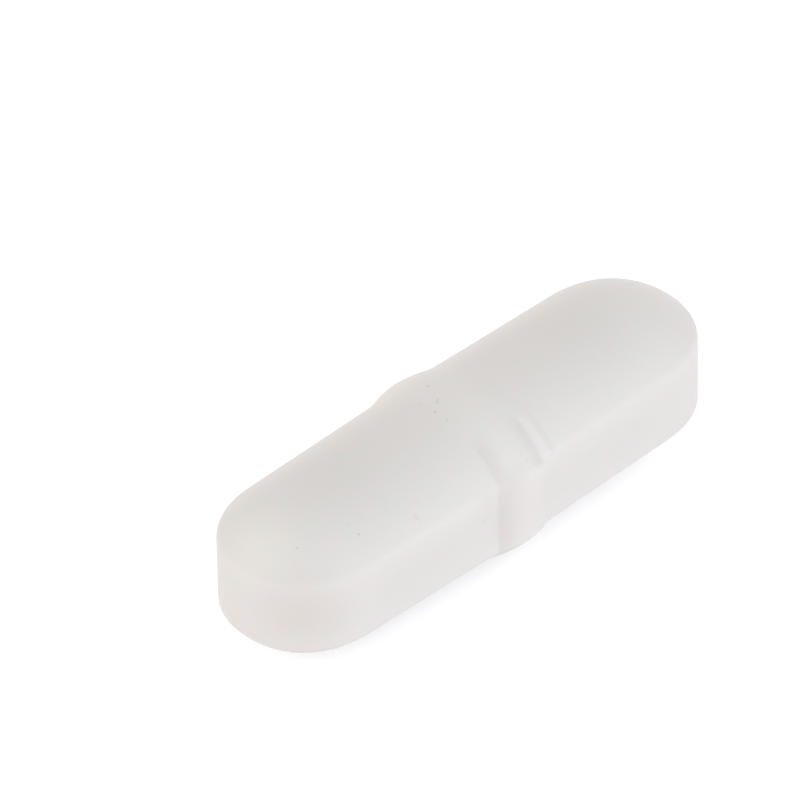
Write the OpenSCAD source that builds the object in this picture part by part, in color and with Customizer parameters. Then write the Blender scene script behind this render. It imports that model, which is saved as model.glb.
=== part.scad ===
// Magnetic stir bar with a pivot ring: a white fluoropolymer jacket moulded round a bar magnet.
// The bar lies along X, with Z up. The origin is below its middle, on the surface that it rests on.

/* [Bar] */
// Length from end to end
bar_length = 25; // [14:0.5:60]
// Width over the upright sides, at the middle of the bar
middle_width = 7.54; // [7:0.02:9]
// Width over the upright sides, where the round ends begin
end_width = 7.26; // [6:0.02:8]
// Height from ridge to ridge, at the middle of the bar
middle_height = 7.36; // [6.8:0.02:9]
// Height from ridge to ridge, where the round ends begin
end_height = 6.78; // [5.6:0.02:8]
// Height of the upright band round the belly
band_height = 3.48; // [2:0.02:4.6]
// How far each round end reaches past the straight part
end_reach = 3.92; // [2.4:0.02:4.6]
// Fullness of the end's outline, where 2 is an ellipse and more is squarer
end_fullness = 2.15; // [2:0.05:3]
// Radius of the soft edge between crown and band
edge_radius = 0.25; // [0.05:0.01:0.5]

/* [Pivot ring] */
// Width of the ring along the bar
ring_width = 2.85; // [1:0.05:4]
// How far the ring stands out of each upright side
ring_side_rise = 0.31; // [0.05:0.01:0.8]
// How far the ring stands above each ridge
ring_ridge_rise = 0.13; // [0.02:0.01:0.8]

/* [Magnet] */
// Thinnest wall of the jacket over the magnet's round side
jacket_wall = 0.98; // [0.5:0.02:1.8]
// Wall of the jacket beyond each end of the magnet
end_wall = 3.2; // [1.6:0.1:5]
// Chamfer round each end of the magnet
magnet_chamfer = 0.4; // [0.1:0.05:0.8]
// Clearance between magnet and jacket, all round
magnet_clearance = 0.03; // [0.01:0.01:0.2]

/* [Smoothness] */
// Facets over half a crown, from ridge to soft edge
crown_steps = 12; // [4:1:16]
// Facets round the soft edge
edge_steps = 3; // [1:1:5]
// Facets across the ring
ring_steps = 14; // [4:2:20]
// Facets along the side, between ring and round end
side_steps = 4; // [1:1:8]
// Facets round each end
end_steps = 24; // [8:2:32]
// Facets round the magnet
magnet_steps = 96; // [24:8:128]

/* [Hidden] */

half_straight = bar_length / 2 - end_reach;
ring_half = ring_width / 2;
band_half = band_height / 2;
axis_height = middle_height / 2 + ring_ridge_rise;

magnet_diameter = min(end_width, end_height) - 2 * (jacket_wall + magnet_clearance);
magnet_length = bar_length - 2 * (end_wall + magnet_clearance);

jacket_colour = "#ECEBE9";
magnet_colour = "#8D9092";

// Straight taper from the middle of the bar to where its round ends begin
function taper(middle, end, x) = middle + (end - middle) * abs(x) / half_straight;

// Swell of the ring: 1 on its middle line, falling to 0 at its two borders
function swell(x) = max(0, 1 - pow(x / ring_half, 2));

function half_width(x) = taper(middle_width, end_width, x) / 2 + ring_side_rise * swell(x);

function half_height(x) = taper(middle_height, end_height, x) / 2 + ring_ridge_rise * swell(x);

// A power that keeps the sign of its base
function signed_pow(base, power) = sign(base) * pow(abs(base), power);

// Outline of a round end seen from above, as a reach from the end of the straight part
function end_outline(angle) = [
    end_reach * signed_pow(cos(angle), 2 / end_fullness),
    end_width / 2 * signed_pow(sin(angle), 2 / end_fullness)
];

// Upper half of a rib as [out, up]: an arc down the crown, then a smaller arc round the soft edge,
// which meets both the crown and the upright band without a corner
function upper_profile(reach, height) =
    let (
        rise = height - band_half,
        crown_radius = (reach * reach + rise * rise) / (2 * rise),
        crown_up = height - crown_radius,
        edge_out = reach - edge_radius,
        inner_radius = crown_radius - edge_radius,
        edge_up = crown_up + sqrt(pow(inner_radius, 2) - pow(edge_out, 2)),
        crown_turn = asin(edge_out / inner_radius),
        edge_turn = 90 - crown_turn
    )
    concat(
        [for (i = [1 : crown_steps])
            let (angle = crown_turn * i / crown_steps)
            [crown_radius * sin(angle), crown_up + crown_radius * cos(angle)]],
        [for (i = [1 : edge_steps])
            let (angle = crown_turn + edge_turn * i / edge_steps)
            [edge_out + edge_radius * sin(angle), edge_up + edge_radius * cos(angle)]]
    );

// Whole rib: the upper half, then its mirror image below, joined by the upright band
function profile(reach, height) =
    let (upper = upper_profile(reach, height))
    concat(upper, [for (i = [len(upper) - 1 : -1 : 0]) [upper[i].x, -upper[i].y]]);

// Places along the ridge: the side behind the ring, the ring, the side in front of it
stations = concat(
    [for (i = [0 : side_steps - 1])
        -half_straight + (half_straight - ring_half) * i / side_steps],
    [for (i = [0 : ring_steps])
        -ring_half + ring_width * i / ring_steps],
    [for (i = [1 : side_steps])
        ring_half + (half_straight - ring_half) * i / side_steps]
);
last_station = len(stations) - 1;

// The ribs once round the bar, each as [station on the ridge, outline from that station]
ribs = concat(
    [for (s = [0 : last_station]) [s, [0, -half_width(stations[s])]]],
    [for (i = [1 : end_steps - 1]) [last_station, end_outline(-90 + 180 * i / end_steps)]],
    [for (s = [last_station : -1 : 0]) [s, [0, half_width(stations[s])]]],
    [for (i = [1 : end_steps - 1]) [0, end_outline(90 + 180 * i / end_steps)]]
);

// Points of one rib, set out from its station
function rib_points(rib) =
    let (
        x = stations[rib[0]],
        reach = norm(rib[1]),
        direction = rib[1] / reach
    )
    [for (p = profile(reach, half_height(x)))
        [x + direction.x * p.x, direction.y * p.x, p.y]];

// Crowned bar with its ring and round ends, as one skin of ribs between two ridges
module bar_form() {
    rib_count = len(ribs);
    rib_size = 2 * (crown_steps + edge_steps);
    upper_ridge = rib_count * rib_size;
    lower_ridge = upper_ridge + len(stations);
    points = concat(
        [for (rib = ribs) each rib_points(rib)],
        [for (x = stations) [x, 0, half_height(x)]],
        [for (x = stations) [x, 0, -half_height(x)]]
    );
    skin = [for (r = [0 : rib_count - 1], i = [0 : rib_size - 2])
        let (here = r * rib_size + i, next = (r + 1) % rib_count * rib_size + i)
        each [[here, next, next + 1], [here, next + 1, here + 1]]];
    ridges = [for (r = [0 : rib_count - 1])
        let (
            n = (r + 1) % rib_count,
            top_here = upper_ridge + ribs[r][0],
            top_next = upper_ridge + ribs[n][0],
            low_here = lower_ridge + ribs[r][0],
            low_next = lower_ridge + ribs[n][0],
            first_here = r * rib_size,
            first_next = n * rib_size,
            end_here = first_here + rib_size - 1,
            end_next = first_next + rib_size - 1
        )
        each concat(
            [[top_here, first_next, first_here], [end_here, end_next, low_here]],
            top_here == top_next ? [] : [[top_here, top_next, first_next], [end_next, low_next, low_here]]
        )];
    polyhedron(points, concat(skin, ridges));
}

// Round rod along X with chamfered ends, grown on every face by a clearance
module rod(grow = 0) {
    radius = magnet_diameter / 2 + grow;
    half = magnet_length / 2 + grow;
    rotate([0, 90, 0])
        rotate_extrude($fn = magnet_steps)
            polygon([
                [0, -half],
                [radius - magnet_chamfer, -half],
                [radius, magnet_chamfer - half],
                [radius, half - magnet_chamfer],
                [radius - magnet_chamfer, half],
                [0, half]
            ]);
}

// White moulding: bar and ring in one piece, closed all round the magnet
module jacket() {
    color(jacket_colour)
        translate([0, 0, axis_height])
            difference() {
                bar_form();
                rod(magnet_clearance);
            }
}

// Cast and ground bar magnet, sealed in the jacket
module magnet() {
    color(magnet_colour)
        translate([0, 0, axis_height])
            rod();
}

jacket();
magnet();
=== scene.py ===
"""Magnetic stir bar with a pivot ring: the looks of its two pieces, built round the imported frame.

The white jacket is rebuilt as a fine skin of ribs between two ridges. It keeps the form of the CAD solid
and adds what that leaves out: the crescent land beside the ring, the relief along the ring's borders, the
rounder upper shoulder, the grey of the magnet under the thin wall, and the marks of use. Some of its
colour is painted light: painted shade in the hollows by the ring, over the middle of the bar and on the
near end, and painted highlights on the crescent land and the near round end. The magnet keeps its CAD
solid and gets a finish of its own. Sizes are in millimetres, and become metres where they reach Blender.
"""

from __future__ import annotations

import logging
import math
from dataclasses import dataclass, field
from enum import Enum, IntEnum
from typing import Any

import bpy
import numpy as np
from mathutils import Matrix, Vector


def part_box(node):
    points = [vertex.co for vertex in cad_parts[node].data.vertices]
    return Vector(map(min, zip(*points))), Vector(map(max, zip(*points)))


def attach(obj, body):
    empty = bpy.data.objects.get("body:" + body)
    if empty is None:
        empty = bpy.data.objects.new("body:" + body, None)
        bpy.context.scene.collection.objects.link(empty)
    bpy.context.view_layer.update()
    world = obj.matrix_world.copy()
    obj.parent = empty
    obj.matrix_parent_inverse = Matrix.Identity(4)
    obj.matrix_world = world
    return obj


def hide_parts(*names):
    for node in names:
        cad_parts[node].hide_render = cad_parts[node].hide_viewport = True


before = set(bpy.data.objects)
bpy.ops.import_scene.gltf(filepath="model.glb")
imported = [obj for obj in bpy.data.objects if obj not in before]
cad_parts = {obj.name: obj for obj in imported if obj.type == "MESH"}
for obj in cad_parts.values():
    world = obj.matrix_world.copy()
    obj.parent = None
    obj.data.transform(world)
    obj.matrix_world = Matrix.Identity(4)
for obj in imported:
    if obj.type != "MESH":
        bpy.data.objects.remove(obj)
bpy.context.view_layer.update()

MM = 0.001
BODY = "root"

# A Mix node has a set of sockets for each kind of value, so those for colours go by number.
MIX_SHARE = 0
MIX_UNDER = 6
MIX_OVER = 7
MIX_RESULT = 2

log = logging.getLogger("stir_bar")


def linear(colour: str) -> tuple[float, float, float, float]:
    """Turn an sRGB hex colour into the linear colour that shaders use.

    Args:
        colour: The colour as "#RRGGBB".

    Returns:
        Linear red, green and blue, with an alpha of 1.
    """
    channels = (int(colour[i : i + 2], 16) / 255 for i in (1, 3, 5))
    red, green, blue = (
        c / 12.92 if c <= 0.04045 else ((c + 0.055) / 1.055) ** 2.4 for c in channels
    )
    return red, green, blue, 1.0


def add_node(
    tree: bpy.types.NodeTree, kind: str, inputs: dict[Any, Any], **settings: Any
) -> bpy.types.Node:
    """Add one shader node, with its settings, values and links.

    Args:
        tree: The node tree that gets the node.
        kind: Blender's name for the kind of node.
        inputs: Values by input name or number. A socket is linked, and anything else is set.
        settings: Attributes of the node itself, such as its operation.

    Returns:
        The new node.
    """
    node = tree.nodes.new(kind)
    for name, value in settings.items():
        setattr(node, name, value)
    for name, value in inputs.items():
        if isinstance(value, bpy.types.NodeSocket):
            tree.links.new(value, node.inputs[name])
        else:
            node.inputs[name].default_value = value
    return node


def smooth(value: np.ndarray, start: float | np.ndarray, end: float | np.ndarray) -> np.ndarray:
    """Rise smoothly from 0 at start to 1 at end.

    Args:
        value: Where the rise is wanted.
        start: The value at which it is still 0.
        end: The value at which it is 1, which may be below start.

    Returns:
        The rise, between 0 and 1.
    """
    t = np.clip((value - start) / (end - start), 0.0, 1.0)
    return t * t * (3.0 - 2.0 * t)


@dataclass(frozen=True)
class Rise:
    """Smooth rise from 0 at start to 1 at end, which may be below start."""

    start: float
    end: float

    def share(self, value: np.ndarray) -> np.ndarray:
        """How far it has risen at each value."""
        return smooth(value, self.start, self.end)


@dataclass(frozen=True)
class Stretch:
    """Stretch with soft borders: it grows from start to full and fades from waning to end."""

    start: float
    full: float
    waning: float
    end: float

    def share(self, value: np.ndarray) -> np.ndarray:
        """How fully each value lies within it."""
        return smooth(value, self.start, self.full) * smooth(value, self.end, self.waning)


@dataclass(frozen=True)
class Peak:
    """Bell-shaped peak with a height of 1 at its middle."""

    middle: float
    width: float

    def share(self, value: np.ndarray) -> np.ndarray:
        """How high it stands at each value."""
        return np.exp(-(((value - self.middle) / self.width) ** 2))


@dataclass(frozen=True)
class Patch:
    """Patch of colour, used for painted shade and for a reddish stain, by how it runs along the bar and
    down from the upper ridge.
    """

    strength: float
    along: Stretch | Peak
    down: Stretch | Peak

    def share(self, x: np.ndarray, down: np.ndarray) -> np.ndarray:
        """Share of the stain at each place."""
        return self.strength * self.along.share(x) * self.down.share(down)


class Side(Enum):
    """A long side of the bar, as the sign of its Y."""

    FRONT = -1
    BACK = 1


class Shown(Enum):
    """What a point of the skin shows, as the name of the mesh attribute with its share from 0 to 1."""

    # Grey over the magnet, part of it painted shade.
    MAGNET = "magnet_and_painted_shade"
    # Painted shade in the hollows by the ring and the crescent.
    PAINTED_SHADE = "grey_painted_shade"
    BLUSH = "red_blush"
    # Painted highlight on the crescent land.
    LAND_HIGHLIGHT = "painted_land_highlight"


class Column(IntEnum):
    """What each column of a rib holds, with one row for each of the rib's points."""

    OUT = 0
    UP = 1
    NORMAL_OUT = 2
    NORMAL_UP = 3
    DOWN = 4


@dataclass(frozen=True)
class BarForm:
    """Outer form of the jacket, as its ribs give it.

    The length and the two sizes over the ring come from the frame, and the rest are the bar's own. The
    shoulders are the soft edges between the crowns and the upright band.
    """

    length: float
    across_ring: float
    over_ring: float
    middle_width: float = 7.54
    end_width: float = 7.26
    middle_height: float = 7.36
    end_height: float = 6.78
    band_height: float = 3.48
    end_reach: float = 3.92
    end_fullness: float = 2.15
    upper_shoulder: float = 0.6
    lower_shoulder: float = 0.25
    ring_width: float = 2.85

    @classmethod
    def from_frame(cls) -> BarForm:
        """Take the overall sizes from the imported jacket."""
        low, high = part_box("jacket")
        size = (high - low) / MM
        return cls(length=size.x, across_ring=size.y, over_ring=size.z)

    @property
    def half_straight(self) -> float:
        """Length from the middle to where a round end begins."""
        return self.length / 2 - self.end_reach

    @property
    def axis_height(self) -> float:
        """Height of the bar's axis over the surface it rests on."""
        return self.over_ring / 2

    @property
    def side_rise(self) -> float:
        """How far the ring stands out of each upright side."""
        return (self.across_ring - self.middle_width) / 2

    @property
    def ridge_rise(self) -> float:
        """How far the ring stands above each ridge."""
        return (self.over_ring - self.middle_height) / 2

    @property
    def half_ring(self) -> float:
        """Half the width of the ring along the bar."""
        return self.ring_width / 2

    def swell(self, x: float | np.ndarray) -> float | np.ndarray:
        """Swell of the ring: 1 on its middle line and 0 from its borders on."""
        return np.maximum(0.0, 1.0 - (x / self.half_ring) ** 2)

    def taper(self, middle: float, end: float, x: float) -> float:
        """Straight taper from the middle of the bar to where its round ends begin."""
        return middle + (end - middle) * abs(x) / self.half_straight

    def half_width(self, x: float) -> float:
        """Half the width at a place along the bar."""
        return self.taper(self.middle_width, self.end_width, x) / 2 + self.side_rise * self.swell(x)

    def half_height(self, x: float) -> float:
        """Half the height at a place along the bar."""
        return self.taper(self.middle_height, self.end_height, x) / 2 + self.ridge_rise * self.swell(x)

    def end_outline(self, angle: float) -> tuple[float, float]:
        """Outline of a round end seen from above.

        Args:
            angle: The turn from the bar's axis, in radians, from minus to plus a quarter turn.

        Returns:
            How far it reaches along and across the bar from the end of the straight part.
        """
        power = 2 / self.end_fullness
        along = abs(math.cos(angle)) ** power
        across = math.copysign(abs(math.sin(angle)) ** power, angle)
        return self.end_reach * along, self.end_width / 2 * across


@dataclass(frozen=True)
class RibSteps:
    """How finely the skin is divided."""

    crown: int = 60
    shoulder: int = 14
    band: int = 14
    ring_station: float = 0.04
    side_station: float = 0.2
    ring_zone: float = 2.2
    end: int = 64


@dataclass(frozen=True)
class RingBorder:
    """Where the ring's flanks run out onto the bar.

    All round, the moulding blends the two. On the front side a shallow groove follows the near border,
    from part way down the crown to the foot of the band.
    """

    blend: float = 0.2
    blend_fade: Rise = Rise(2.1, 1.6)
    groove_across: Peak = Peak(-1.4, 0.1)
    groove_down: Stretch = Stretch(2.5, 3.2, 7.7, 8.2)
    groove_depth: float = 0.03

    def blended(self, x: np.ndarray, half_ring: float) -> np.ndarray:
        """How much the blend adds to the ring's swell, which ends at its borders with a corner."""
        level = 1.0 - (x / half_ring) ** 2
        soft = (level + np.sqrt(level**2 + self.blend**2)) / 2
        return (soft - np.maximum(0.0, level)) * self.blend_fade.share(np.abs(x))

    def groove(self, x: np.ndarray, down: np.ndarray) -> np.ndarray:
        """Height of the groove's floor over the skin, which is below zero."""
        return -self.groove_depth * self.groove_across.share(x) * self.groove_down.share(down)


@dataclass(frozen=True)
class CrescentLand:
    """Raised crescent beside the ring, low on the front of the upper crown.

    The ring falls steeply to a valley there. From the valley the land slopes up to a lip, which drops
    back to the crown. It starts at a point part way down and ends at the soft edge. A field with from in
    its name is measured from the place that it names.
    """

    crest: float = 0.45
    valley: float = 1.2
    valley_depth: float = 0.025
    valley_width: float = 0.12
    lip_at_point: float = 1.42
    lip_at_edge: float = 1.68
    lip_height: float = 0.045
    foot: float = 1.97
    point: float = 1.9
    edge: float = 4.3
    flank_from_point: Rise = Rise(-0.4, 0.8)
    flank_from_edge: Rise = Rise(0.45, 0.0)
    land_from_point: Rise = Rise(-0.05, 0.8)
    land_from_edge: Rise = Rise(0.08, -0.1)
    # Painted highlight on the land.
    highlight_from_valley: Rise = Rise(0.0, 0.1)
    highlight_from_lip: Rise = Rise(0.05, -0.05)
    # Painted shade on the steep flank and at the foot of the lip.
    thin_shade: float = 0.25
    thin_from_crest: Rise = Rise(-0.15, 0.35)
    thick_shade: float = 0.29
    thick_from_valley: Peak = Peak(-0.16, 0.16)
    thick_loss: float = 0.6
    thick_loss_down: Rise = Rise(3.4, 4.2)
    shade_end_from_valley: Rise = Rise(0.06, -0.03)
    foot_shade: float = 0.3
    shade_from_foot: Peak = Peak(-0.12, 0.13)

    def lip(self, down: np.ndarray) -> np.ndarray:
        """Place of the lip along the bar."""
        share = np.clip((down - self.point) / (self.edge - self.point), 0.0, 1.0)
        return self.lip_at_point + (self.lip_at_edge - self.lip_at_point) * share

    def flank_share(self, down: np.ndarray) -> np.ndarray:
        """How fully the steep flank is there, from 0 to 1."""
        from_point = self.flank_from_point.share(down - self.point)
        return from_point * self.flank_from_edge.share(down - self.edge)

    def land_share(self, down: np.ndarray) -> np.ndarray:
        """How fully the land is there, from 0 to 1."""
        from_point = self.land_from_point.share(down - self.point)
        return from_point * self.land_from_edge.share(down - self.edge)

    def lift(self, x: np.ndarray, down: np.ndarray, ring: np.ndarray) -> np.ndarray:
        """How far flank and land lie over the plain ring and crown.

        Args:
            x: Places along the bar.
            down: Distances down from the upper ridge.
            ring: The plain ring's own rise at each place.

        Returns:
            The lift of each place, below zero on the flank.
        """
        valley = Peak(self.valley, self.valley_width).share(x)
        flank = -ring * smooth(x, self.crest, self.valley) - self.valley_depth * valley
        lip = self.lip(down)
        land = self.lip_height * smooth(x, self.valley, lip) * smooth(x, self.foot, lip)
        return flank * self.flank_share(down) + land * self.land_share(down)

    def land_highlight(self, x: np.ndarray, down: np.ndarray) -> np.ndarray:
        """Share of painted highlight on the land, which stands lit brighter than the crown round it."""
        from_valley = self.highlight_from_valley.share(x - self.valley)
        return from_valley * self.highlight_from_lip.share(x - self.lip(down)) * self.land_share(down)

    def darkening(self, x: np.ndarray, down: np.ndarray) -> np.ndarray:
        """Share of grey painted shade in the crescent's hollows: on the steep flank, darkest by the
        valley, and at the foot of the lip.
        """
        thin = self.thin_shade * self.thin_from_crest.share(x - self.crest)
        thick = self.thick_shade * self.thick_from_valley.share(x - self.valley)
        thick = thick * (1 - self.thick_loss * self.thick_loss_down.share(down))
        flank = (thin + thick) * self.shade_end_from_valley.share(x - self.valley)
        foot = self.foot_shade * self.shade_from_foot.share(x - self.foot)
        return flank * self.flank_share(down) + foot * self.land_share(down)


@dataclass(frozen=True)
class JunctionShadeAndDirt:
    """Painted shade and reddish grime in the near junction of ring and bar, on the front side.

    The grey is painted shade, darkening the hollow of the junction: a stripe down it, a core half way
    down the band, a thin spread over the bar, both close by and wide, and a trail that thins out over the
    ring.
    The reddish tinge is grime, and runs from the soft edge to the foot of the band.
    """

    # Grey painted shade in and beside the junction, and over the ring.
    stripe: Patch = Patch(1.0, Stretch(-1.45, -1.29, -1.2, -0.45), Stretch(1.8, 3.0, 7.6, 8.4))
    stripe_shade: float = 0.7
    stripe_loss: float = 0.1
    stripe_loss_down: Rise = Rise(4.1, 4.7)
    trail: Patch = Patch(0.62, Stretch(-1.45, -1.29, -1.2, 0.3), Stretch(3.6, 4.8, 7.6, 8.4))
    core: Patch = Patch(0.95, Peak(-1.24, 0.14), Stretch(4.8, 5.6, 6.4, 7.4))
    close: Patch = Patch(0.22, Stretch(-1.8, -1.55, -1.45, -1.2), Stretch(4.8, 5.6, 6.4, 7.4))
    wide: Patch = Patch(0.22, Stretch(-3.05, -1.65, -1.45, -1.2), Stretch(4.1, 4.6, 5.4, 6.4))
    # Reddish grime.
    red_stripe: Patch = Patch(0.45, Stretch(-1.45, -1.33, -0.95, -0.6), Stretch(3.9, 4.9, 7.8, 8.6))
    red_middle: Patch = Patch(0.4, Peak(-1.0, 0.14), Peak(6.2, 0.45))
    red_foot: Patch = Patch(0.9, Peak(-1.2, 0.16), Peak(7.15, 0.3))

    def grey_shade(self, x: np.ndarray, down: np.ndarray) -> np.ndarray:
        """Share of the grey painted shade.

        Args:
            x: Places along the bar.
            down: Distances down from the upper ridge.

        Returns:
            The share at each place, which is that of the strongest part of the shade there.
        """
        loss = self.stripe_loss * self.stripe_loss_down.share(down)
        shares = [self.stripe.share(x, down) * (self.stripe_shade - loss)]
        for patch in (self.trail, self.core, self.close, self.wide):
            shares.append(patch.share(x, down))
        return np.maximum.reduce(shares)

    def blush(self, x: np.ndarray, down: np.ndarray) -> np.ndarray:
        """Share of the reddish tinge, where its parts add up."""
        parts = (self.red_stripe, self.red_middle, self.red_foot)
        return np.clip(sum(part.share(x, down) for part in parts), 0.0, 1.0)


@dataclass
class Skin:
    """Points of the jacket's skin in ribs, with what each one shows.

    Every array has one row for each rib and one column for each point down the rib. Each rib starts from
    a point on the ridge.
    """

    place: np.ndarray
    shown: dict[Shown, np.ndarray]
    ridge_x: list[float]
    ridge_of_rib: list[int]


@dataclass(frozen=True)
class SealedMagnet:
    """Where the magnet lies, for how grey the jacket is made over it.

    Part of that grey is the magnet seen through a thin wall, and part is painted shade: its depth over
    the middle of the bar and its clearing toward the ends stand for how the light falls there.
    """

    half_length: float
    radius: float
    wall: float = 1.0
    fade: float = 0.8
    even: float = 0.5
    clear_before_end: float = 3.27
    clear_over: float = 3.5

    @classmethod
    def from_frame(cls) -> SealedMagnet:
        """Take the magnet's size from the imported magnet."""
        low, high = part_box("magnet")
        size = (high - low) / MM
        return cls(half_length=size.x / 2, radius=size.z / 2)

    def grey_share(self, points: np.ndarray) -> np.ndarray:
        """How grey the skin is made over the magnet, partly as painted shade.

        Args:
            points: Places on the skin, from the middle of the bar.

        Returns:
            The share for each place. A wall as thin as the stated one would give 1 and a thicker one
            gives less, and toward the ends of the bar it turns into the even share.
        """
        beyond = np.maximum(0.0, np.abs(points[..., 0]) - self.half_length + self.clear_before_end)
        over = np.hypot(points[..., 1], points[..., 2]) - self.radius
        thin = np.minimum(1.0, np.exp((self.wall - over) / self.fade))
        return self.even + (thin - self.even) * np.exp(-((beyond / self.clear_over) ** 2))


@dataclass
class Jacket:
    """White moulding of bar and ring, closed all round the magnet."""

    form: BarForm
    magnet: SealedMagnet
    steps: RibSteps = field(default_factory=RibSteps)
    border: RingBorder = field(default_factory=RingBorder)
    crescent: CrescentLand = field(default_factory=CrescentLand)
    darkening: JunctionShadeAndDirt = field(default_factory=JunctionShadeAndDirt)

    def half_rib(self, reach: float, height: float, shoulder: float) -> np.ndarray:
        """Set out half of one rib, from below its ridge to the middle of the band.

        Args:
            reach: How far out the upright band lies.
            height: Height of the ridge over the axis.
            shoulder: Radius of the soft edge between crown and band.

        Returns:
            A row for each point, with the values that Column lists.
        """
        form, steps = self.form, self.steps
        rise = height - form.band_height / 2
        crown_radius = (reach**2 + rise**2) / (2 * rise)
        crown_up = height - crown_radius
        edge_out = reach - shoulder
        inner_radius = crown_radius - shoulder
        edge_up = crown_up + math.sqrt(inner_radius**2 - edge_out**2)
        turn = math.asin(edge_out / inner_radius)
        rows = []
        for i in range(1, steps.crown + 1):
            angle = turn * i / steps.crown
            sine, cosine = math.sin(angle), math.cos(angle)
            out, up = crown_radius * sine, crown_up + crown_radius * cosine
            rows.append((out, up, sine, cosine, crown_radius * angle))
        crown_length = crown_radius * turn
        for i in range(1, steps.shoulder + 1):
            angle = turn + (math.pi / 2 - turn) * i / steps.shoulder
            sine, cosine = math.sin(angle), math.cos(angle)
            down = crown_length + shoulder * (angle - turn)
            rows.append((edge_out + shoulder * sine, edge_up + shoulder * cosine, sine, cosine, down))
        edge_length = rows[-1][Column.DOWN]
        half_band = steps.band // 2
        for i in range(1, half_band + 1):
            up = edge_up * (1 - i / half_band)
            rows.append((reach, up, 1.0, 0.0, edge_length + edge_up - up))
        return np.array(rows)

    def rib(self, reach: float, height: float) -> np.ndarray:
        """Set out a whole rib: its upper half, and a lower one with a sharper edge."""
        upper = self.half_rib(reach, height, self.form.upper_shoulder)
        lower = self.half_rib(reach, height, self.form.lower_shoulder)[::-1]
        lower[:, [Column.UP, Column.NORMAL_UP]] *= -1
        both = upper[-1, Column.DOWN] + lower[0, Column.DOWN]
        lower[:, Column.DOWN] = both - lower[:, Column.DOWN]
        return np.vstack([upper, lower[1:]])

    def stations(self) -> list[float]:
        """Places along the ridge that carry ribs, closest round the ring."""
        form, steps = self.form, self.steps
        side = round((form.half_straight - steps.ring_zone) / steps.side_station)
        outer = np.linspace(form.half_straight, steps.ring_zone, side + 1)[:-1]
        ring = round(2 * steps.ring_zone / steps.ring_station)
        inner = np.linspace(-steps.ring_zone, steps.ring_zone, ring + 1)
        return [*(-outer), *inner, *outer[::-1]]

    def outlines(self, stations: list[float]) -> list[tuple[int, float, float]]:
        """List the ribs once round the bar.

        Args:
            stations: Places along the ridge.

        Returns:
            For each rib its station's number and how far it reaches along and across the bar.
        """
        last = len(stations) - 1
        turns = [-math.pi / 2 + math.pi * i / self.steps.end for i in range(1, self.steps.end)]
        front = [(s, 0.0, -self.form.half_width(stations[s])) for s in range(last + 1)]
        far = [(last, *self.form.end_outline(angle)) for angle in turns]
        back = [(s, 0.0, self.form.half_width(stations[s])) for s in range(last, -1, -1)]
        near = []
        for angle in reversed(turns):
            along, across = self.form.end_outline(angle)
            near.append((0, -along, across))
        return front + far + back + near

    def ring_rise(self, share: np.ndarray) -> np.ndarray:
        """How far the ring's crest stands out, from its ridge at a share of 0 to its band at 1."""
        return self.form.ridge_rise + (self.form.side_rise - self.form.ridge_rise) * share**2

    def skin(self) -> Skin:
        """Set out the whole skin, with its small features on it.

        Returns:
            The skin's points in ribs, and what they show.
        """
        stations = self.stations()
        outlines = self.outlines(stations)
        place = []
        shown: dict[Shown, list[np.ndarray]] = {name: [] for name in Shown if name is not Shown.MAGNET}
        for station, reach_x, reach_y in outlines:
            x = stations[station]
            reach = math.hypot(reach_x, reach_y)
            out, up, normal_out, normal_up, down = self.rib(reach, self.form.half_height(x)).T
            points_x = x + reach_x / reach * out
            side = Side.FRONT if reach_y < 0 else Side.BACK
            lift = self.lift(points_x, down, out / reach, side)
            out = out + lift * normal_out
            up = up + lift * normal_up
            place.append(np.column_stack([x + reach_x / reach * out, reach_y / reach * out, up]))
            for name, share in self.stains_and_painted_light(points_x, down, side).items():
                shown[name].append(share)
        shares = {name: np.array(rows) for name, rows in shown.items()}
        return Skin(np.array(place), shares, stations, [o[0] for o in outlines])

    def lift(self, x: np.ndarray, down: np.ndarray, share: np.ndarray, side: Side) -> np.ndarray:
        """How far the skin's small features stand over its plain form.

        Args:
            x: Places along the bar.
            down: Distances down from the upper ridge.
            share: How far out each point lies, from 0 on the ridge to 1 on the band.
            side: The side of the bar that the rib is on.

        Returns:
            The lift of each point, below zero where the skin sinks.
        """
        rise = self.ring_rise(share)
        lift = self.border.blended(x, self.form.half_ring) * rise
        if side is Side.FRONT:
            ring = self.form.swell(x) * rise
            lift = lift + self.border.groove(x, down) + self.crescent.lift(x, down, ring + lift)
        return lift

    def stains_and_painted_light(self, x: np.ndarray, down: np.ndarray, side: Side) -> dict[Shown, np.ndarray]:
        """What grime, painted shade and a painted highlight show at the points of a rib.

        Args:
            x: Places along the bar.
            down: Distances down from the upper ridge.
            side: The side of the bar that the rib is on.

        Returns:
            The share of each kind at each point.
        """
        if side is Side.BACK:
            return {name: np.zeros_like(x) for name in (Shown.PAINTED_SHADE, Shown.BLUSH, Shown.LAND_HIGHLIGHT)}
        # Painted shade: the grey darkens the crescent's hollows and the ring's near junction.
        grey_shade = np.maximum(self.crescent.darkening(x, down), self.darkening.grey_shade(x, down))
        return {
            Shown.PAINTED_SHADE: grey_shade,
            Shown.BLUSH: self.darkening.blush(x, down),
            Shown.LAND_HIGHLIGHT: self.crescent.land_highlight(x, down),
        }

    def build(self) -> bpy.types.Object:
        """Build the jacket's mesh and put it in the CAD jacket's place.

        Returns:
            The jacket, riding on the bar's body.
        """
        piece = bpy.data.objects.new("moulded_jacket", self.mesh(self.skin()))
        bpy.context.scene.collection.objects.link(piece)
        piece.data.materials.append(SinteredPtfe(self.marks()).material())
        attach(piece, BODY)
        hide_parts("jacket")
        return piece

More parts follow.
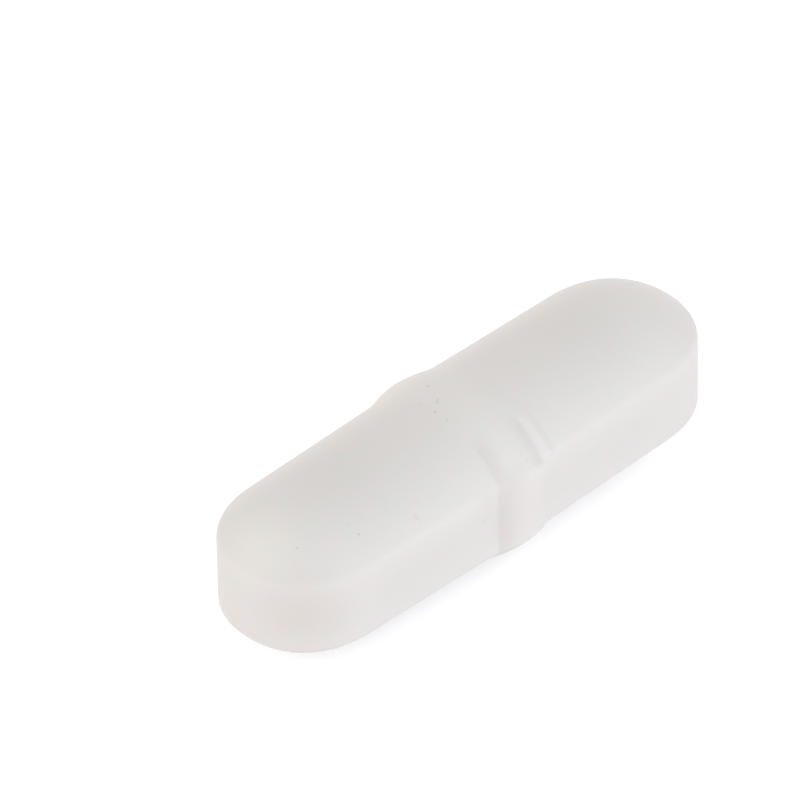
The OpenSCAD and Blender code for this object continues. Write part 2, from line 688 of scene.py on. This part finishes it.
    def mesh(self, skin: Skin) -> bpy.types.Mesh:
        """Turn the skin into a mesh, closed by a ridge above and one below.

        Args:
            skin: The skin's ribs.

        Returns:
            The mesh, with an attribute for each thing that it shows.
        """
        rib_count, rib_size, _ = skin.place.shape
        ridge_x = np.array(skin.ridge_x)
        plain = np.array([self.form.half_height(x) for x in ridge_x])
        ridge_up = plain + self.border.blended(ridge_x, self.form.half_ring) * self.form.ridge_rise
        flat = np.zeros_like(ridge_x)
        upper = np.column_stack([ridge_x, flat, ridge_up])
        lower = np.column_stack([ridge_x, flat, -ridge_up])
        points = np.vstack([skin.place.reshape(-1, 3), upper, lower])
        on_ridges = np.zeros(2 * len(ridge_x))
        shown = {name: np.append(share.reshape(-1), on_ridges) for name, share in skin.shown.items()}
        shown[Shown.MAGNET] = self.magnet.grey_share(points)
        faces = self.faces(rib_count, rib_size, skin.ridge_of_rib, len(ridge_x))
        mesh = bpy.data.meshes.new("jacket_skin")
        mesh.from_pydata(((points + (0.0, 0.0, self.form.axis_height)) * MM).tolist(), [], faces)
        mesh.validate()
        mesh.shade_smooth()
        for name, share in shown.items():
            mesh.attributes.new(name.value, "FLOAT", "POINT").data.foreach_set("value", share)
        return mesh

    def marks(self) -> tuple[tuple[Mark, Vector], ...]:
        """Find where each mark lies on the skin.

        Returns:
            The marks, each with its place in metres.
        """
        found = []
        for mark in MARKS:
            station = max(-self.form.half_straight, min(mark.x, self.form.half_straight))
            if station == mark.x:
                reach_x, reach_y = 0.0, self.form.half_width(station)
            else:
                turn = math.radians(mark.turn)
                along, across = self.form.end_outline(turn)
                reach_x, reach_y = math.copysign(along, mark.x), abs(across)
            reach = math.hypot(reach_x, reach_y)
            out, up, _, _, down = self.rib(reach, self.form.half_height(station)).T
            far_out = float(np.interp(mark.down, [0.0, *down], [0.0, *out]))
            height = float(np.interp(mark.down, [0.0, *down], [self.form.half_height(station), *up]))
            place = Vector(
                (
                    station + reach_x / reach * far_out,
                    mark.side.value * reach_y / reach * far_out,
                    height + self.form.axis_height,
                )
            )
            found.append((mark, place * MM))
        return tuple(found)

    @staticmethod
    def faces(ribs: int, size: int, ridge_of_rib: list[int], ridge_size: int) -> list[tuple[int, ...]]:
        """Join the ribs to each other and to the two ridges.

        Args:
            ribs: Number of ribs.
            size: Number of points down each rib.
            ridge_of_rib: The ridge point that each rib starts from.
            ridge_size: Number of points along each ridge.

        Returns:
            The corners of each face, turned to face outward.
        """
        upper = ribs * size
        lower = upper + ridge_size
        faces: list[tuple[int, ...]] = []
        for r in range(ribs):
            n = (r + 1) % ribs
            here, after = r * size, n * size
            for i in range(size - 1):
                faces.append((here + i, here + i + 1, after + i + 1, after + i))
            top, top_after = upper + ridge_of_rib[r], upper + ridge_of_rib[n]
            low, low_after = lower + ridge_of_rib[r], lower + ridge_of_rib[n]
            last, last_after = here + size - 1, after + size - 1
            if top == top_after:
                faces.append((top, here, after))
                faces.append((low, last_after, last))
            else:
                faces.append((top, here, after, top_after))
                faces.append((low, low_after, last_after, last))
        return faces


@dataclass(frozen=True)
class Mark:
    """Speck, fleck or broad faint tinge on the skin. Two broad tinges on the near end are painted shade
    and a painted highlight.

    It is placed by its distance along the bar and down from the upper ridge. On a round end, turn is the
    direction of its rib from the bar's axis, in degrees.
    """

    x: float
    down: float
    radius: float
    colour: str
    strength: float
    side: Side = Side.FRONT
    turn: float = 0.0
    soft: float = 0.5


MARKS = (
    Mark(-0.36, 1.46, 0.20, "#CFA48E", 0.12, Side.BACK, soft=1.0),
    Mark(-0.36, 1.46, 0.09, "#7E4A38", 0.17, Side.BACK),
    Mark(-0.93, 0.29, 0.075, "#6E6357", 0.18, Side.BACK),
    Mark(-0.81, 0.40, 0.07, "#6E6357", 0.18, Side.BACK),
    Mark(-1.37, 0.02, 0.07, "#55504A", 0.22),
    Mark(-1.32, 0.68, 0.09, "#8A8072", 0.12),
    Mark(-1.37, 0.84, 0.14, "#9A7F6C", 0.07, Side.BACK, soft=0.9),
    Mark(-1.25, 2.72, 0.14, "#B59A74", 0.08, soft=0.9),
    Mark(-8.23, 2.68, 0.07, "#3F3F3B", 0.20),
    Mark(-8.30, 2.15, 0.15, "#A89186", 0.07, soft=1.0),
    Mark(-5.50, 3.42, 0.18, "#D3A468", 0.14, soft=1.0),
    Mark(-5.46, 3.50, 0.09, "#8C7458", 0.10, soft=0.8),
    Mark(-5.52, 3.75, 0.07, "#A3998B", 0.08, soft=0.8),
    Mark(-2.18, 5.62, 0.15, "#8C8C93", 0.09, soft=0.9),
    Mark(-10.68, 2.66, 0.07, "#6B645C", 0.19, turn=-36.0),
    Mark(0.27, 3.80, 0.15, "#C9B48C", 0.12, soft=0.9),
    Mark(0.36, 4.13, 0.13, "#B59A80", 0.08, soft=0.9),
    Mark(0.45, 4.80, 0.16, "#B59E86", 0.07, soft=1.0),
    Mark(-0.10, 4.80, 1.30, "#A8A29C", 0.05, soft=1.0),
    Mark(0.10, 6.30, 1.60, "#E6C6B6", 0.09, soft=1.0),
    # Painted shade: the middle of the near end's upright face, which faces the camera, made darker and
    # browner than its rims.
    Mark(-11.20, 5.75, 3.00, "#CCBDB5", 0.34, turn=-47.0, soft=1.0),
    # Painted highlight: the upper near round end made brighter and warmer.
    Mark(-11.50, 3.20, 2.40, "#FFF7E8", 0.17, soft=1.0),
)


@dataclass(frozen=True)
class Layer:
    """Colour that a finish takes on where the mesh shows something."""

    shown: Shown
    colour: str
    strength: float = 1.0


@dataclass(frozen=True)
class Noise:
    """Uneven pattern, by the size of its cells and the number of finer layers over them."""

    size: float
    detail: float

    @property
    def scale(self) -> float:
        """Scale for a texture whose places are in metres."""
        return 1 / (self.size * MM)


@dataclass(frozen=True)
class SinteredPtfe:
    """PTFE, pressed and sintered: an opaque, faintly waxy white with a soft satin sheen.

    A thin wall of it lets the dark magnet grey it a little, and part of that grey is painted shade. Its
    layers also paint shade in the hollows by the ring and a highlight on the crescent land. Sintering
    leaves it faintly clouded, and the mould leaves a skin that is matt close up.
    """

    marks: tuple[tuple[Mark, Vector], ...]
    name: str = "sintered_ptfe"
    white: str = "#E8E6E2"
    layers: tuple[Layer, ...] = (
        # Grey over the magnet, part of it painted shade.
        Layer(Shown.MAGNET, "#D8D5D2"),
        # Painted highlight on the crescent land.
        Layer(Shown.LAND_HIGHLIGHT, "#F2F2F4", 0.1),
        # Painted shade in the hollows by the ring and the crescent.
        Layer(Shown.PAINTED_SHADE, "#CFCBC6", 0.55),
        Layer(Shown.BLUSH, "#DAC1BE", 0.2),
    )
    cloud_tints: tuple[str, str] = ("#E2E7E0", "#ECE2E1")
    cloud_share: float = 0.3
    cloud_range: tuple[float, float] = (0.35, 0.65)
    cloud: Noise = Noise(0.7, 3.0)
    grain: Noise = Noise(0.16, 2.0)
    grain_depth: float = 0.0012
    swell: Noise = Noise(1.1, 1.0)
    swell_depth: float = 0.004
    edge: Noise = Noise(0.09, 1.0)
    edge_shift: float = 0.05
    ior: float = 1.35
    roughness: tuple[float, float] = (0.36, 0.5)

    def material(self) -> bpy.types.Material:
        """Build the finish.

        Returns:
            The material.
        """
        material = bpy.data.materials.new(self.name)
        material.use_nodes = True
        tree = material.node_tree
        tree.nodes.clear()
        place = add_node(tree, "ShaderNodeTexCoord", {}).outputs["Object"]
        cloud, grain, swell = (
            add_node(
                tree,
                "ShaderNodeTexNoise",
                {"Vector": place, "Scale": noise.scale, "Detail": noise.detail},
            )
            for noise in (self.cloud, self.grain, self.swell)
        )
        colour = self.marked(tree, place, self.layered(tree, cloud.outputs["Fac"]))
        rough = add_node(
            tree,
            "ShaderNodeMapRange",
            {
                "Value": grain.outputs["Fac"],
                "To Min": self.roughness[0],
                "To Max": self.roughness[1],
            },
        )
        waves = add_node(
            tree,
            "ShaderNodeBump",
            {"Height": swell.outputs["Fac"], "Distance": self.swell_depth * MM, "Strength": 1.0},
        )
        matt = add_node(
            tree,
            "ShaderNodeBump",
            {
                "Height": grain.outputs["Fac"],
                "Distance": self.grain_depth * MM,
                "Strength": 1.0,
                "Normal": waves.outputs["Normal"],
            },
        )
        shader = add_node(
            tree,
            "ShaderNodeBsdfPrincipled",
            {
                "Base Color": colour,
                "Roughness": rough.outputs["Result"],
                "IOR": self.ior,
                "Normal": matt.outputs["Normal"],
            },
        )
        add_node(tree, "ShaderNodeOutputMaterial", {"Surface": shader.outputs["BSDF"]})
        return material

    def layered(self, tree: bpy.types.NodeTree, cloud: bpy.types.NodeSocket) -> bpy.types.NodeSocket:
        """Lay the mesh's shares and the clouding over the plain white.

        Args:
            tree: The material's node tree.
            cloud: The noise that clouds it.

        Returns:
            The colour so far.
        """
        colour: Any = linear(self.white)
        for layer in self.layers:
            share = add_node(tree, "ShaderNodeAttribute", {}, attribute_name=layer.shown.value)
            scaled = add_node(
                tree, "ShaderNodeMath", {0: share.outputs["Fac"], 1: layer.strength}, operation="MULTIPLY"
            )
            colour = add_node(
                tree,
                "ShaderNodeMix",
                {
                    MIX_SHARE: scaled.outputs["Value"],
                    MIX_UNDER: colour,
                    MIX_OVER: linear(layer.colour),
                },
                data_type="RGBA",
            ).outputs[MIX_RESULT]
        clear = add_node(
            tree,
            "ShaderNodeMapRange",
            {"Value": cloud, "From Min": self.cloud_range[0], "From Max": self.cloud_range[1]},
        )
        tint = add_node(
            tree,
            "ShaderNodeMix",
            {
                MIX_SHARE: clear.outputs["Result"],
                MIX_UNDER: linear(self.cloud_tints[0]),
                MIX_OVER: linear(self.cloud_tints[1]),
            },
            data_type="RGBA",
        )
        scale = add_node(
            tree,
            "ShaderNodeVectorMath",
            {0: tint.outputs[MIX_RESULT], 1: Vector([1 / c for c in linear(self.white)[:3]])},
            operation="MULTIPLY",
        )
        return add_node(
            tree,
            "ShaderNodeMix",
            {MIX_SHARE: self.cloud_share, MIX_UNDER: colour, MIX_OVER: scale.outputs["Vector"]},
            data_type="RGBA",
            blend_type="MULTIPLY",
        ).outputs[MIX_RESULT]

    def marked(
        self, tree: bpy.types.NodeTree, place: bpy.types.NodeSocket, colour: bpy.types.NodeSocket
    ) -> bpy.types.NodeSocket:
        """Put the specks, flecks and tinges on, with outlines that a fine noise makes uneven.

        Args:
            tree: The material's node tree.
            place: The place on the skin.
            colour: The colour below the marks.

        Returns:
            The colour with its marks.
        """
        shift = add_node(
            tree,
            "ShaderNodeTexNoise",
            {"Vector": place, "Scale": self.edge.scale, "Detail": self.edge.detail},
        )
        # The noise runs from 0 to 1, so it is centred on 0 and doubled to reach the shift either way.
        centred = add_node(
            tree,
            "ShaderNodeVectorMath",
            {0: shift.outputs["Color"], 1: (0.5, 0.5, 0.5)},
            operation="SUBTRACT",
        )
        reach = Vector((1.0, 1.0, 1.0)) * self.edge_shift * 2 * MM
        uneven = add_node(
            tree,
            "ShaderNodeVectorMath",
            {0: centred.outputs["Vector"], 1: reach, 2: place},
            operation="MULTIPLY_ADD",
        )
        for mark, middle in self.marks:
            away = add_node(
                tree,
                "ShaderNodeVectorMath",
                {0: uneven.outputs["Vector"], 1: middle},
                operation="DISTANCE",
            )
            share = add_node(
                tree,
                "ShaderNodeMapRange",
                {
                    "Value": away.outputs["Value"],
                    "From Min": mark.radius * MM,
                    "From Max": mark.radius * (1 - mark.soft) * MM,
                    "To Min": 0.0,
                    "To Max": mark.strength,
                },
                interpolation_type="SMOOTHSTEP",
            )
            colour = add_node(
                tree,
                "ShaderNodeMix",
                {
                    MIX_SHARE: share.outputs["Result"],
                    MIX_UNDER: colour,
                    MIX_OVER: linear(mark.colour),
                },
                data_type="RGBA",
            ).outputs[MIX_RESULT]
        return colour


@dataclass(frozen=True)
class GroundAlnico:
    """AlNiCo magnet alloy, cast and ground: bare grey metal with fine grinding lines round it.

    The lines are drawn coarser than a grinding wheel leaves them, so that they show.
    """

    name: str = "ground_alnico"
    greys: tuple[str, str] = ("#8E9194", "#A9ABAD")
    line_pitch: float = 0.12
    line_length: float = 4.0
    line_detail: float = 3.0
    line_depth: float = 0.001
    roughness: tuple[float, float] = (0.3, 0.46)

    def material(self) -> bpy.types.Material:
        """Build the finish.

        Returns:
            The material.
        """
        material = bpy.data.materials.new(self.name)
        material.use_nodes = True
        tree = material.node_tree
        tree.nodes.clear()
        place = add_node(tree, "ShaderNodeTexCoord", {}).outputs["Object"]
        scale = Vector((1 / self.line_pitch, 1 / self.line_length, 1 / self.line_length)) / MM
        stretched = add_node(tree, "ShaderNodeVectorMath", {0: place, 1: scale}, operation="MULTIPLY")
        lines = add_node(
            tree,
            "ShaderNodeTexNoise",
            {"Vector": stretched.outputs["Vector"], "Scale": 1.0, "Detail": self.line_detail},
        ).outputs["Fac"]
        grey = add_node(
            tree,
            "ShaderNodeMix",
            {
                MIX_SHARE: lines,
                MIX_UNDER: linear(self.greys[0]),
                MIX_OVER: linear(self.greys[1]),
            },
            data_type="RGBA",
        )
        rough = add_node(
            tree,
            "ShaderNodeMapRange",
            {"Value": lines, "To Min": self.roughness[0], "To Max": self.roughness[1]},
        )
        bump = add_node(
            tree, "ShaderNodeBump", {"Height": lines, "Distance": self.line_depth * MM, "Strength": 1.0}
        )
        shader = add_node(
            tree,
            "ShaderNodeBsdfPrincipled",
            {
                "Base Color": grey.outputs[MIX_RESULT],
                "Roughness": rough.outputs["Result"],
                "Metallic": 1.0,
                "Normal": bump.outputs["Normal"],
            },
        )
        add_node(tree, "ShaderNodeOutputMaterial", {"Surface": shader.outputs["BSDF"]})
        return material


@dataclass
class Magnet:
    """Bar magnet, sealed in the jacket. Its CAD solid has the right shape and stays."""

    finish: GroundAlnico = field(default_factory=GroundAlnico)

    def dress(self) -> bpy.types.Object:
        """Give the CAD magnet its finish."""
        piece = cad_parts["magnet"]
        piece.data.materials.clear()
        piece.data.materials.append(self.finish.material())
        return piece


@dataclass(frozen=True)
class Fill:
    """Broad soft light from one side of the studio, fading out over a quarter turn.

    A strength below zero takes light away.
    """

    toward: tuple[float, float, float]
    tint: str
    strength: float


@dataclass
class Studio:
    """Pale floor, pale walls all round with broad fills on every side, and a darker ceiling.

    The paper of the floor is a trace warmer than white. Its glow is seen only by the camera, gloss and
    glass, and is a trace cooler, so that the paper and the shadow on it show without a tint.
    """

    floor_size: float = 4000.0
    floor_white: str = "#FCF6F8"
    glow_tint: str = "#F1FFFC"
    floor_glow: float = 0.352
    walls: float = 0.732
    fill_falloff: float = 2.0
    fills: tuple[Fill, ...] = (
        Fill((0.0, 0.0, 1.0), "#FFFFFF", -0.585),
        Fill((0.0, -1.0, 0.25), "#F1F2FF", 0.822),
        Fill((0.0, -1.0, 1.0), "#D9F6FF", 0.284),
        Fill((-1.0, 0.0, 0.25), "#FFFAED", 0.502),
        Fill((1.0, 0.0, 0.25), "#FFEEE0", 0.285),
        Fill((0.0, 1.0, 0.25), "#FFF1EC", 0.745),
    )

    def floor(self) -> bpy.types.Object:
        """Lay the floor under the bar."""
        half = self.floor_size / 2 * MM
        mesh = bpy.data.meshes.new("floor_sheet")
        corners = [(-half, -half, 0.0), (half, -half, 0.0), (half, half, 0.0), (-half, half, 0.0)]
        mesh.from_pydata(corners, [], [(0, 1, 2, 3)])
        piece = bpy.data.objects.new("studio_floor", mesh)
        bpy.context.scene.collection.objects.link(piece)
        piece.data.materials.append(self.floor_material())
        return piece

    def floor_material(self) -> bpy.types.Material:
        """Matt white paper that shows as plain white where no shadow falls on it."""
        material = bpy.data.materials.new("studio_paper")
        material.use_nodes = True
        tree = material.node_tree
        tree.nodes.clear()
        paper = add_node(tree, "ShaderNodeBsdfDiffuse", {"Color": linear(self.floor_white)})
        glow = add_node(
            tree,
            "ShaderNodeEmission",
            {"Color": linear(self.glow_tint), "Strength": self.seen(tree, self.floor_glow)},
        )
        both = add_node(
            tree, "ShaderNodeAddShader", {0: paper.outputs["BSDF"], 1: glow.outputs["Emission"]}
        )
        add_node(tree, "ShaderNodeOutputMaterial", {"Surface": both.outputs["Shader"]})
        return material

    @staticmethod
    def seen(tree: bpy.types.NodeTree, strength: float) -> bpy.types.NodeSocket:
        """Give a strength to what the camera, gloss and glass see, and none to the light itself.

        Args:
            tree: The node tree of the floor or the world.
            strength: The strength where it is seen.

        Returns:
            The socket that carries the strength.
        """
        path = add_node(tree, "ShaderNodeLightPath", {})
        direct = add_node(
            tree,
            "ShaderNodeMath",
            {0: path.outputs["Is Camera Ray"], 1: path.outputs["Is Glossy Ray"]},
            operation="MAXIMUM",
        )
        either = add_node(
            tree,
            "ShaderNodeMath",
            {0: direct.outputs["Value"], 1: path.outputs["Is Transmission Ray"]},
            operation="MAXIMUM",
        )
        scaled = add_node(
            tree, "ShaderNodeMath", {0: either.outputs["Value"], 1: strength}, operation="MULTIPLY"
        )
        return scaled.outputs["Value"]

    def light(self) -> None:
        """Light the bar from a pale world all round it, with broad fills from every side."""
        world = bpy.data.worlds.new("studio_world")
        bpy.context.scene.world = world
        world.use_nodes = True
        tree = world.node_tree
        tree.nodes.clear()
        place = add_node(tree, "ShaderNodeTexCoord", {})
        colour: Any = Vector((1.0, 1.0, 1.0)) * self.walls
        for fill in self.fills:
            facing = add_node(
                tree,
                "ShaderNodeVectorMath",
                {0: place.outputs["Generated"], 1: Vector(fill.toward).normalized()},
                operation="DOT_PRODUCT",
            )
            front = add_node(
                tree, "ShaderNodeMath", {0: facing.outputs["Value"], 1: 0.0}, operation="MAXIMUM"
            )
            lobe = add_node(
                tree,
                "ShaderNodeMath",
                {0: front.outputs["Value"], 1: self.fill_falloff},
                operation="POWER",
            )
            tint = Vector(linear(fill.tint)[:3]) * fill.strength
            added = add_node(
                tree,
                "ShaderNodeVectorMath",
                {0: lobe.outputs["Value"], 1: tint, 2: colour},
                operation="MULTIPLY_ADD",
            )
            colour = added.outputs["Vector"]
        sky = add_node(tree, "ShaderNodeBackground", {"Color": colour, "Strength": 1.0})
        white = add_node(tree, "ShaderNodeBackground", {"Color": (1.0, 1.0, 1.0, 1.0), "Strength": 1.0})
        background = add_node(
            tree,
            "ShaderNodeMixShader",
            {0: self.seen(tree, 1.0), 1: sky.outputs["Background"], 2: white.outputs["Background"]},
        )
        add_node(tree, "ShaderNodeOutputWorld", {"Surface": background.outputs["Shader"]})


@dataclass
class StudioCamera:
    """Long-lens camera that looks down on the bar from its near end.

    Its aim lies to the right of the bar's middle and up from it, as the camera sees them.
    """

    axis_height: float
    azimuth: float = -43.20
    elevation: float = 40.18
    roll: float = -1.25
    distance: float = 568.6
    lens: float = 613.9
    sensor: float = 36.0
    aim_right: float = -2.481
    aim_up: float = 2.647

    def place(self) -> bpy.types.Object:
        """Make the scene's camera.

        Returns:
            The camera.
        """
        azimuth, elevation, roll = (math.radians(a) for a in (self.azimuth, self.elevation, self.roll))
        back = Vector(
            (
                math.sin(azimuth) * math.cos(elevation),
                -math.cos(azimuth) * math.cos(elevation),
                math.sin(elevation),
            )
        )
        level = Vector((math.cos(azimuth), math.sin(azimuth), 0.0))
        right = level * math.cos(roll) + back.cross(level) * math.sin(roll)
        up = back.cross(right)
        middle = Vector((0.0, 0.0, self.axis_height))
        aim = middle + right * self.aim_right + up * self.aim_up
        data = bpy.data.cameras.new("studio_camera")
        data.lens = self.lens
        data.sensor_width = self.sensor
        camera = bpy.data.objects.new("studio_camera", data)
        bpy.context.scene.collection.objects.link(camera)
        turn = Matrix((right, up, back)).transposed().to_4x4()
        camera.matrix_world = Matrix.Translation((aim + back * self.distance) * MM) @ turn
        bpy.context.scene.camera = camera
        return camera


def main() -> None:
    """Build the stir bar and its studio."""
    logging.basicConfig(level=logging.INFO, format="%(name)s: %(message)s")
    bpy.context.scene.view_settings.view_transform = "Standard"
    form = BarForm.from_frame()
    jacket = Jacket(form, SealedMagnet.from_frame()).build()
    log.info("%s: %d faces", jacket.name, len(jacket.data.polygons))
    magnet = Magnet().dress()
    log.info("%s: %s", magnet.name, magnet.data.materials[0].name)
    studio = Studio()
    log.info("%s laid", studio.floor().name)
    studio.light()
    camera = StudioCamera(form.axis_height).place()
    log.info("%s at %s", camera.name, [round(c, 4) for c in camera.location])


if __name__ == "__main__":
    main()
